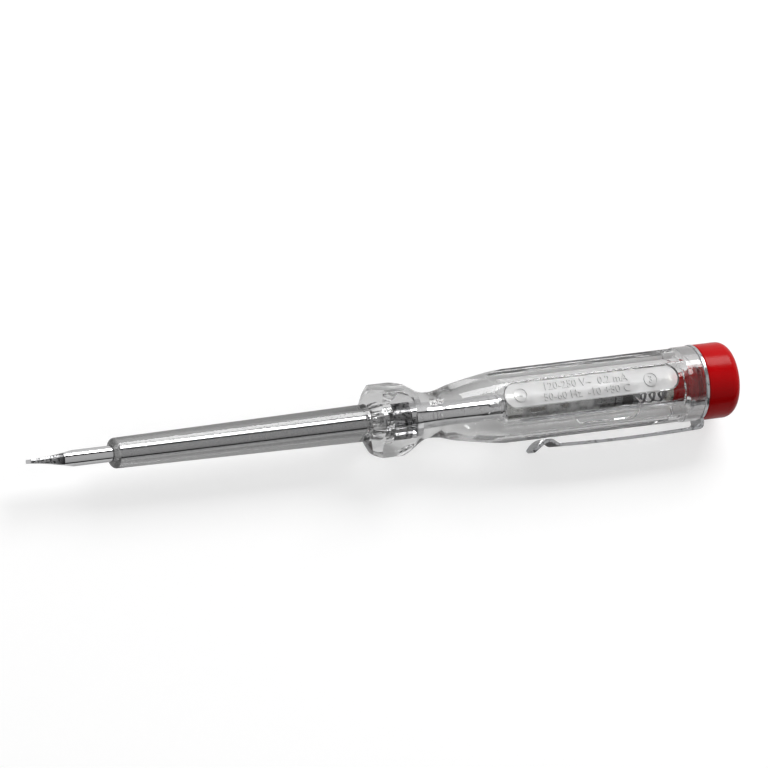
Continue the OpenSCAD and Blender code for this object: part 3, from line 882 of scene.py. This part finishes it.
@dataclass
class Handle:
    """The clear handle: six-sided collar, waisted neck, eight-sided grip, round band and blind bore."""

    collar: float = 50.3
    dome_r: float = 11.0
    collar_r: float = 7.05
    collar_af: float = 12.2
    collar_edge: float = 0.35
    collar_bar: Pair = (50.0, 63.2)
    sleeve_r: float = 3.4
    blend: float = 55.318
    throat: float = 62.518
    throat_r: float = 4.18
    neck: tuple[Pair, ...] = (
        (62.518, 4.18), (63.3, 4.18), (64.0, 4.24), (64.8, 4.39), (65.6, 4.6), (66.5, 4.86), (67.3, 5.1),
        (68.2, 5.27), (69.6, 5.53), (71.0, 5.79), (72.4, 6.03), (73.8, 6.26), (75.2, 6.46), (76.6, 6.63),
        (78.0, 6.77), (79.2, 6.88), (80.4, 7.0), (82.0, 7.3),
    )
    grip_af: float = 12.6
    grip_edge: float = 0.55
    grip_front: float = 62.9
    band: float = 112.318
    band_r: float = 6.85
    band_edge: Pair = (0.12, 0.05)
    band_root: Pair = (111.2, 5.9)
    rear: float = 115.418
    rear_edge: float = 0.15
    floor: float = 76.368
    floor_edge: float = 0.6
    bore_r: float = 2.6
    thread_r: float = 3.31
    thread_front: float = 112.318
    thread_step: float = 0.15
    overlap: float = 0.2
    spigot_r: float = 2.84
    spigot_end: float = 54.34
    field: Pair = (75.518, 110.518)
    field_half: float = 2.2
    field_edge: float = 0.25
    field_depth: float = 0.22
    window: Pair = (89.818, 102.318)
    window_half: float = 1.9
    window_bevel: float = 0.9
    window_depth: float = 0.25
    window_flare: float = 0.35
    reach: float = 0.5
    relief: float = 0.14
    foot: float = 0.05
    mark_high: float = 0.22
    band_sunk: float = 0.08
    neck_sunk: float = 0.06

    def neck_radius(self, x: float) -> float:
        """Gives the neck's radius at a place along the axis."""
        for (x0, r0), (x1, r1) in zip(self.neck, self.neck[1:]):
            if x0 <= x <= x1:
                return r0 + (r1 - r0) * (x - x0) / (x1 - x0)
        return self.neck[0][1] if x < self.neck[0][0] else self.neck[-1][1]

    def outside(self) -> Piece:
        """Turns the whole outline and cuts its flats."""
        dome = self.collar - (self.dome_r - math.sqrt(self.dome_r**2 - self.sleeve_r**2))
        outline: Outline = [(self.collar, 0.0)]
        for i in range(15):
            r = self.sleeve_r + (self.collar_r - self.sleeve_r) * i / 14
            outline.append((dome + self.dome_r - math.sqrt(self.dome_r**2 - r * r), r))
        middle, swing = (self.collar_r + self.throat_r) / 2, (self.collar_r - self.throat_r) / 2
        for t in shares(28):
            outline.append((self.blend + (self.throat - self.blend) * t, middle + swing * math.cos(math.pi * t)))
        outline += self.neck[1:]
        outline += [(self.band - self.overlap, r) for r in (self.neck[-1][1], 0.0)]
        body = turned("handle", outline, 144)
        collar_section = flat_bar_section(6, self.collar_af, self.collar_edge)
        grip_section = flat_bar_section(8, self.grip_af, self.grip_edge)
        bars = prism("collar_bar", collar_section, *self.collar_bar)
        work_in(bars, Cut.JOIN, prism("grip_bar", grip_section, self.grip_front, self.band))
        work_in(body, Cut.MEET, bars)
        (back, down), (root, root_r), edge = self.band_edge, self.band_root, self.rear_edge
        outline = [(root, 0.0), (root, root_r), (self.band - back, self.band_r - down), (self.band, self.band_r)]
        outline += [(self.rear - edge, self.band_r), (self.rear, self.band_r - edge), (self.rear, 0.0)]
        return work_in(body, Cut.JOIN, turned("band", outline, 144))

    def inside(self) -> list[Piece]:
        """Gives the cutters of the bore, the thread's bore, the spigot's seat and the two sunk fields."""
        edge, past, seat_front = self.floor_edge, self.rear + self.reach, self.collar - self.reach
        bore: Outline = [(self.floor, 0.0), (self.floor, self.bore_r - edge), (self.floor + edge, self.bore_r)]
        bore += [(self.thread_front, self.bore_r), (self.thread_front + self.thread_step, self.thread_r)]
        bore += [(past, self.thread_r), (past, 0.0)]
        seat: Outline = [(seat_front, 0.0), (seat_front, self.spigot_r)]
        seat += [(self.spigot_end, self.spigot_r), (self.spigot_end, 0.0)]
        top, inset = self.grip_af / 2, self.field_half + self.field_edge
        ends = self.field[0] + inset, self.field[1] - inset
        widen = self.field_half + self.field_edge * (self.field_depth + self.reach) / self.field_depth
        floor, rim = stadium(*ends, self.field_half), stadium(*ends, widen)
        pane, mouth = self.window_outline(0.0), self.window_outline(self.window_flare)
        return [
            turned("bore", bore, 112),
            turned("seat", seat, 96),
            tray("label", floor, rim, top - self.field_depth, top + self.reach),
            tray("window", pane, mouth, top - self.window_depth, top + self.reach, 45.0),
        ]

    def window_outline(self, margin: float) -> Outline:
        """Gives the window's outline with its cut corners, widened by a margin."""
        x0, x1 = self.window[0] - margin, self.window[1] + margin
        return cut_corners(x0, x1, self.window_half + margin, self.window_bevel)

    def raised_marks(self) -> list[Piece]:
        """Gives the raised lettering: the ratings and ringed signs in the field, numerals on neck and band."""
        marks = []
        ground, high = self.grip_af / 2 - self.field_depth - self.foot, self.relief + self.foot
        for words, size, x, y in (
            ("120-250 V~  0.2 mA", 2.05, 92.0, 0.98), ("50-60 Hz  -10 +50 C", 2.05, 92.0, -1.02),
            ("~", 2.3, 78.9, 0.0), ("3", 1.9, 104.9, 0.0),
        ):
            text = relief_text(words, size, high)
            text.data.transform(Matrix.Translation((x * MM, y * MM, ground * MM)))
            marks.append(text)
        marks += [self.ring_mark(place, 1.25, 0.16, ground, high) for place in (78.9, 104.9)]
        for mark, x, y in (
            (self.ring_mark(0.0, 1.25, 0.17, 0.0, self.mark_high), 113.55, 0.0),
            (relief_text("7", 2.0, self.mark_high), 113.55, 0.0),
            (relief_text("38", 2.6, self.mark_high), 63.2, 1.1),
            (relief_text("06", 2.6, self.mark_high), 63.2, -1.5),
            (relief_text("2", 2.2, self.mark_high), 72.3, -0.6),
            (self.ring_mark(0.0, 1.9, 0.2, 0.0, self.mark_high), 72.3, -0.6),
        ):
            marks.append(self.wrapped(mark, x, y))
        return marks

    def ring_mark(self, x: float, r: float, wide: float, z: float, height: float) -> Piece:
        """Makes a flat raised ring round a place on the label's line."""
        steps = 40
        points = [
            (x + at * math.cos(FULL_TURN * k / steps), at * math.sin(FULL_TURN * k / steps), level)
            for level in (z, z + height)
            for at in (r - wide / 2, r + wide / 2)
            for k in range(steps)
        ]
        low_in, low_out, top_in, top_out = (steps * i for i in range(4))
        walls = ((low_in, low_out), (top_in, top_out), (low_in, top_in), (low_out, top_out))
        faces = [
            [a + k, a + (k + 1) % steps, b + (k + 1) % steps, b + k] for k in range(steps) for a, b in walls
        ]
        return mesh_from("ring_mark", points, faces)

    def wrapped(self, mark: Piece, x: float, y: float) -> Piece:
        """Wraps a flat mark round the neck or the band, sunk a little into it.

        Args:
            mark: The mark, with its middle at the origin.
            x: Its place along the axis.
            y: Its place round the axis, measured on the surface.

        Returns:
            The mark.
        """
        for vertex in mark.data.vertices:
            p = vertex.co / MM
            on_band = x > self.band
            r = self.band_r - self.band_sunk if on_band else self.neck_radius(p.x + x) - self.neck_sunk
            angle = (p.y + y) / r
            vertex.co = Vector((p.x + x, (r + p.z) * math.sin(angle), (r + p.z) * math.cos(angle))) * MM
        return mark

    def build(self) -> None:
        """Makes the handle as one clear solid with everything sunk into it and raised on it."""
        piece = work_in(self.outside(), Cut.CARVE, *self.inside())
        work_in(piece, Cut.JOIN, *self.raised_marks())
        smooth(piece, 22.0)
        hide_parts("handle_body")
        dress(piece, HANDLE_PLASTIC, Body.HANDLE)
        piece.data.materials.append(SATIN_PLASTIC.material())
        piece.data.materials.append(LETTER_PAINTED_SHADE.material())
        low, high = self.grip_af / 2 - self.field_depth - 0.01, self.grip_af / 2 - 0.02
        edge = self.field_half - 0.02
        front, rear = self.field[0] + self.field_half, self.field[1] - self.field_half
        for face in piece.data.polygons:
            middle = face.center / MM
            reach = math.hypot(middle.x - min(max(middle.x, front), rear), middle.y)
            if low < middle.z < high and reach < edge:
                # Up-facing faces of the field take the satin floor, the rest the letters' sides with their painted
                # shade.
                face.material_index = 1 if face.normal.z > 0.9 else 2


@dataclass
class Innards:
    """What lies in the bore: the lamp with its caps, leads and electrodes, and the resistor."""

    def build(self) -> None:
        """Copies the CAD forms and gives each its finish."""
        for node, name, finish, slot in (
            ("lamp_glass", "lamp_tube", CLOUDED_GLASS, "lamp_glass"),
            ("lamp_front_bead", "front_bead", CLOUDED_GLASS, "lamp_glass"),
            ("lamp_rear_bead", "rear_bead", CLOUDED_GLASS, "lamp_glass"),
            ("lamp_front_electrode", "front_electrode", ELECTRODE, "nickel"),
            ("lamp_rear_electrode", "rear_electrode", ELECTRODE, "nickel"),
            ("lamp_front_cap", "front_lamp_cap", BRIGHT_TIN, "tin_plate"),
            ("lamp_rear_cap", "rear_lamp_cap", TIN_PLATE, "tin_plate"),
            ("lamp_front_solder", "front_solder", SOLDER, "solder"),
            ("lamp_rear_solder", "rear_solder", SOLDER, "solder"),
            ("resistor_rod", "resistor", LACQUER, "resistor_lacquer"),
            ("resistor_front_cap", "front_resistor_cap", TIN_PLATE, "tin_plate"),
            ("resistor_rear_cap", "rear_resistor_cap", TIN_PLATE, "tin_plate"),
        ):
            dress(cad_copy(node, name), finish, Body.HANDLE)


@dataclass
class Contact:
    """The coil spring between the resistor and the cap, its disc and the touch stud."""

    front: float = 103.518
    rear: float = 109.718
    coil_r: float = 2.05
    wire_r: float = 0.25
    wire_room: float = 0.02
    turns: float = 3.1

    def wind(self, tree: Tree, size: Mapping[str, Socket]) -> Socket:
        """Adds the nodes that wind the wire along the axis and returns the geometry's socket."""
        coil = {"Resolution": 48, "Rotations": size["Turns"], "Height": size["Length"]}
        coil |= {"Start Radius": size["Coil radius"], "End Radius": size["Coil radius"]}
        path = add_node(tree, "GeometryNodeCurveSpiral", coil).outputs["Curve"]
        wire = {"Resolution": 14, "Radius": size["Wire radius"]}
        section = add_node(tree, "GeometryNodeCurvePrimitiveCircle", wire).outputs["Curve"]
        tube = {"Curve": path, "Profile Curve": section, "Fill Caps": True}
        laid = {
            "Geometry": add_node(tree, "GeometryNodeCurveToMesh", tube).outputs["Mesh"],
            "Translation": add_node(tree, "ShaderNodeCombineXYZ", {"X": size["Start"]}).outputs["Vector"],
            "Rotation": (0.0, math.pi / 2, 0.0),
        }
        shape = add_node(tree, "GeometryNodeTransform", laid).outputs["Geometry"]
        return add_node(tree, "GeometryNodeSetShadeSmooth", {"Geometry": shape}).outputs["Geometry"]

    def build(self) -> None:
        """Winds the spring, and finishes the disc and the stud."""
        wire = self.wire_r + self.wire_room
        sizes = {
            "Turns": self.turns,
            "Coil radius": self.coil_r * MM,
            "Wire radius": self.wire_r * MM,
            "Length": (self.rear - self.front - 2 * wire) * MM,
            "Start": (self.front + wire) * MM,
        }
        spring = grow("contact_coil", sizes, SPRING_WIRE.material(), self.wind)
        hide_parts("contact_spring")
        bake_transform(spring)
        LOG.info("%s: %d faces", spring.name, len(spring.data.polygons))
        dress(cad_copy("spring_seat", "contact_disc"), BRASS, Body.SLIDER)
        dress(cad_copy("touch_stud", "touch_button", 40.0), NICKEL, Body.SLIDER)


@dataclass
class EndCap:
    """The red cap with its rounded rear edge, threaded plug, nose and the hole for the stud."""

    front: float = 116.118
    end: float = 123.018
    radius: float = 6.93
    round_r: float = 2.0
    dome: float = 0.25
    chamfer: float = 0.3
    straight: float = 2.2
    root_step: float = 0.15
    plug_edge: float = 0.2
    plug_r: float = 3.25
    plug_l: float = 3.4
    nose_r: float = 2.45
    nose_edge: float = 0.25
    nose: float = 110.218
    hole_r: float = 1.06
    head_r: float = 2.66
    head_seat_r: float = 2.6
    head_gap: float = 0.06
    head_deep: float = 0.8
    pitch: float = 1.0
    thread_deep: float = 0.28
    thread_start: float = 0.2
    thread_stop: float = 0.25

    def end_x(self, r: float) -> float:
        """Gives the place of the cap's domed end along the axis, at a radius."""
        return self.end - self.dome * (r / (self.radius - self.round_r)) ** 2

    def threaded(self, x: float, r: float, angle: float) -> float:
        """Cuts the thread's ridges into the plug."""
        start = self.front - self.plug_l + self.thread_start
        if not (abs(r - self.plug_r) < CLOSE and start < x < self.front - self.thread_stop):
            return r
        step = (x / self.pitch - angle / FULL_TURN) % 1.0
        return r - self.thread_deep * (1 - abs(2 * step - 1)) ** 0.8

    def build(self) -> None:
        """Turns the cap with its thread."""
        start, lead, gap = self.front - self.plug_l, self.thread_start, self.head_gap
        well = self.end_x(self.head_seat_r) - self.head_deep
        rings = 56
        outline: Outline = [(self.nose, self.hole_r), (self.nose, self.nose_r - self.nose_edge)]
        outline += [(self.nose + self.nose_edge, self.nose_r), (start - self.root_step, self.nose_r)]
        outline += [(start, self.nose_r + self.root_step), (start, self.plug_r - self.plug_edge)]
        outline += [(start + lead + (self.plug_l - 2 * lead) * i / rings, self.plug_r) for i in range(rings + 1)]
        outline += [(self.front, self.plug_r), (self.front, self.radius - self.chamfer - 0.05)]
        outline += arc(self.front + self.chamfer, self.radius - self.chamfer, self.chamfer, 170, 90, 5)
        outline += [(self.front + self.straight, self.radius)]
        outline += arc(self.end - self.dome - self.round_r, self.radius - self.round_r, self.round_r, 90, 0, 16)
        outline += [(self.end_x(r), r) for r in (4.4, 3.8, 3.2, self.head_r + gap)]
        outline += [(self.end_x(self.head_r) - gap, self.head_r), (well, self.head_r), (well, self.hole_r)]
        piece = turned("cap_moulding", outline, 128, hollow=True, radius_at=self.threaded)
        smooth(piece, 32.0, weigh=False)
        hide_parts("end_cap")
        dress(piece, RED_PLASTIC, Body.CAP)


@dataclass
class Clip:
    """The pocket clip: a ring under the cap and a bent strip with an arch and a rounded lip."""

    turn: float = 105.0
    ring: float = 115.468
    ring_r: float = 7.0
    bore_r: float = 3.5
    thick: float = 0.6
    wide: float = 4.8
    tab_r: float = 5.2
    bend_x: float = 114.968
    bend_y: float = 7.4
    bend_in: float = 0.5
    strip_r: float = 8.2
    bow: float = 0.28
    run: float = 27.8
    arch_r: float = 7.21
    rear_leg: float = 1.9
    front_leg: float = 3.2
    lip_drop: float = 1.7
    lip_round: float = 1.9
    least_half: float = 0.4
    edge: float = 0.09

    def place(self, x: float, out: float, side: float) -> Point:
        """Puts a point of (along the axis, out from the axis, across the strip) on the clip's side."""
        angle = math.radians(90 + self.turn)
        return x, out * math.cos(angle) - side * math.sin(angle), out * math.sin(angle) + side * math.cos(angle)

    def middle_line(self) -> Outline:
        """Gives the strip's middle line from the ring's plane round the bend to the lip."""
        rear = self.bend_x - self.run
        top = rear - self.rear_leg
        half, swing = (self.strip_r + self.arch_r) / 2, (self.strip_r - self.arch_r) / 2
        points = arc(self.bend_x, self.bend_y, self.bend_in + self.thick / 2, 0, 90, 12)
        for t in shares(24)[1:]:
            points.append((self.bend_x - self.run * t, self.strip_r + self.bow * 4 * t * (1 - t)))
        for t in shares(12)[1:]:
            points.append((rear - self.rear_leg * t, half + swing * math.cos(math.pi * t)))
        for t in shares(20)[1:]:
            points.append((top - self.front_leg * t, self.arch_r + self.lip_drop * (1 - math.cos(math.pi / 2 * t))))
        return points

    def half_width(self, x: float) -> float:
        """Gives half the strip's width at a place, narrowed by the lip's round corners."""
        front = self.bend_x - self.run - self.rear_leg - self.front_leg - self.thick / 2
        into = min(max(x - front, 0.0), self.lip_round)
        corner = self.wide / 2 - self.lip_round
        return corner + math.sqrt(max(self.lip_round**2 - (self.lip_round - into) ** 2, 0.0))

    def strip(self) -> Piece:
        """Sweeps the sheet's section along its middle line."""
        line, h, e = self.middle_line(), self.thick / 2, self.edge
        cuts = [(0.0, e), (e * 0.3, e * 0.3), (e, 0.0)]
        rings = []
        for i, (x, r) in enumerate(line):
            before, after = line[max(i - 1, 0)], line[min(i + 1, len(line) - 1)]
            way = Vector((after[0] - before[0], after[1] - before[1])).normalized() if i else Vector((0.0, 1.0))
            w = max(self.half_width(x), self.least_half)
            ring = []
            for up, side in ((1, 1), (-1, 1), (-1, -1), (1, -1)):
                for a, b in cuts if up == side else cuts[::-1]:
                    a, b = up * (h - a), side * (w - b)
                    ring.append(self.place(x - way.y * a, r + way.x * a, b))
            rings.append(ring)
        return smooth(loft("clip_strip", *rings), 35.0)

    def collar_ring(self) -> Piece:
        """Makes the punched ring with the tab that runs into the bend."""
        x0, x1, e, w = self.ring, self.ring + self.thick, self.edge, self.wide / 2
        outline = [(x0, self.bore_r), (x0, self.ring_r - e), (x0 + e, self.ring_r), (x1 - e, self.ring_r)]
        outline += [(x1, self.ring_r - e), (x1, self.bore_r)]
        corners = ((self.tab_r, -w), (self.bend_y, -w), (self.bend_y, w), (self.tab_r, w))
        tab = loft("tab", *([self.place(x, out, side) for out, side in corners] for x in (x0, x1)))
        return smooth(work_in(turned("clip_washer", outline, 128, hollow=True), Cut.JOIN, tab), 30.0)

    def build(self) -> None:
        """Makes the ring and the strip, which bends where it leaves the ring."""
        washer = self.collar_ring()
        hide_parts("clip_ring")
        dress(washer, CLIP_STEEL, Body.RING)
        strip = self.strip()
        strip.data.materials.append(CLIP_STEEL.material())
        strip.data.materials.append(ARCH_PAINTED_SHADE_STEEL.material())
        # Faces on the arch's hollow side take slot 1, the near-black steel that paints the shade mirrored there.
        arch_end = self.bend_x - self.run + 0.2
        lip_end = self.bend_x - self.run - self.rear_leg - self.front_leg
        away = Vector(self.place(0.0, 1.0, 0.0))
        for face in strip.data.polygons:
            hollow = lip_end + 0.02 < face.center.x / MM < arch_end and face.normal.dot(away) > 0.5
            face.material_index = 1 if hollow else 0
        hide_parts("clip_arm")
        bend = arc(self.bend_x, self.bend_y, self.bend_in + self.thick / 2, 25.0, 80.0, 1)
        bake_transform(strip)
        LOG.info("%s: %d faces, %s", strip.name, len(strip.data.polygons), CLIP_STEEL.name)


# ---- Studio ----


@dataclass
class Studio:
    """A white table under soft light, and the camera of the photograph."""

    table_z: float = -7.0
    table_r: float = 700.0
    aim: Point = (55.0, 6.366, 1.707)
    toward: Point = (-0.3991, -0.2375, 0.8857)
    right: Point = (0.9104, -0.2186, 0.3516)
    up: Point = (0.11, 0.9466, 0.3034)
    distance: float = 5000.0
    pixels_per_mm: float = 5.52
    frame_pixels: float = 768.0
    sensor: float = 36.0
    clip_end: float = 20.0
    key_way: Point = (0.4, 0.648, 0.648)
    key_from: Point = (53.0, 0.0, 0.0)
    key_distance: float = 600.0
    key_size: Pair = (420.0, 260.0)
    key_watts: float = 2.8
    # Levels of the room by the angle about the tester's axis, in degrees.
    levels: tuple[Pair, ...] = (
        (-180, 0.3), (-94, 0.3), (-92, 0.01), (-74, 0.01), (-71, 0.34), (-50, 0.46), (-10, 0.5), (10, 0.46),
        (13, 0.01), (28, 0.01), (31, 0.85), (62, 0.85), (92, 0.7), (120, 0.7), (180, 0.4),
    )

    def camera(self) -> None:
        """Sets the camera at the photograph's viewing angle and size."""
        data = bpy.data.cameras.new("camera")
        data.sensor_width = self.sensor
        data.lens = self.pixels_per_mm * self.distance * self.sensor / self.frame_pixels
        data.clip_end = self.clip_end
        camera = new_object("camera", data)
        turn = Matrix([self.right, self.up, self.toward]).transposed().to_4x4()
        spot = (Vector(self.aim) + Vector(self.toward) * self.distance) * MM
        camera.matrix_world = Matrix.Translation(spot) @ turn
        bpy.context.scene.camera = camera

    def table(self) -> None:
        """Lays the white table, a round sheet of paper."""
        steps, r = 96, self.table_r
        angles = [FULL_TURN * k / steps for k in range(steps)]
        points = [(r * math.cos(a), r * math.sin(a), self.table_z) for a in angles]
        top = mesh_from("table", points, [list(range(steps))])
        top.data.materials.append(PAPER.material())

    def room(self) -> None:
        """Lights the room in long strips: a white sweep behind, a grey room in front, dark gaps between."""
        world = bpy.data.worlds.new("room")
        bpy.context.scene.world = world
        tree = empty_tree(world)
        way = add_node(tree, "ShaderNodeTexCoord").outputs["Generated"]
        parts = add_node(tree, "ShaderNodeSeparateXYZ", {0: way}).outputs
        angle = add_node(tree, "ShaderNodeMath", {0: parts["Y"], 1: parts["Z"]}, operation="ARCTAN2").outputs[0]
        share = add_node(tree, "ShaderNodeMapRange", dict(zip(RANGE, (angle, -math.pi, math.pi, 0.0, 1.0))))
        ramp = add_node(tree, "ShaderNodeValToRGB", {"Fac": share.outputs["Result"]})
        bar = ramp.color_ramp
        while len(bar.elements) < len(self.levels):
            bar.elements.new(0.5)
        for element, (degrees, level) in zip(bar.elements, self.levels):
            element.position = degrees / 360 + 0.5
            element.color = (level, level, level, 1.0)
        studio, white = (
            add_node(tree, "ShaderNodeBackground", {"Color": colour, "Strength": 1.0}).outputs[0]
            for colour in (ramp.outputs["Color"], WHITE)
        )
        ray = add_node(tree, "ShaderNodeLightPath").outputs["Is Camera Ray"]
        both = add_node(tree, "ShaderNodeMixShader", {0: ray, 1: studio, 2: white})
        add_node(tree, "ShaderNodeOutputWorld", {"Surface": both.outputs[0]})

    def key_light(self) -> None:
        """Hangs the soft key light where faces tipped 15 degrees to the far side mirror it to the camera."""
        data = bpy.data.lights.new("key", "AREA")
        data.shape = "RECTANGLE"
        data.size, data.size_y = (s * MM for s in self.key_size)
        data.energy = self.key_watts
        lamp = new_object("key", data)
        way = Vector(self.key_way).normalized()
        side = Vector((1, 0, 0)) - way * way.x
        side.normalize()
        turn = Matrix([side, way.cross(side), way]).transposed().to_4x4()
        lamp.matrix_world = Matrix.Translation((Vector(self.key_from) + way * self.key_distance) * MM) @ turn
        lamp.visible_camera = False

    def build(self) -> None:
        """Sets up the camera, the table, the room and the light."""
        scene = bpy.context.scene
        scene.view_settings.view_transform = "Standard"
        scene.cycles.max_bounces = 24
        scene.cycles.transmission_bounces = 24
        scene.cycles.glossy_bounces = 10
        self.camera()
        self.table()
        self.room()
        self.key_light()


def main() -> None:
    """Builds the studio and the tester's sub-assemblies in order."""
    logging.basicConfig(level=logging.INFO, format="%(name)s: %(message)s")
    for assembly in (Studio(), Blade(), Sleeve(), Handle(), Innards(), Contact(), EndCap(), Clip()):
        assembly.build()


if __name__ == "__main__":
    main()
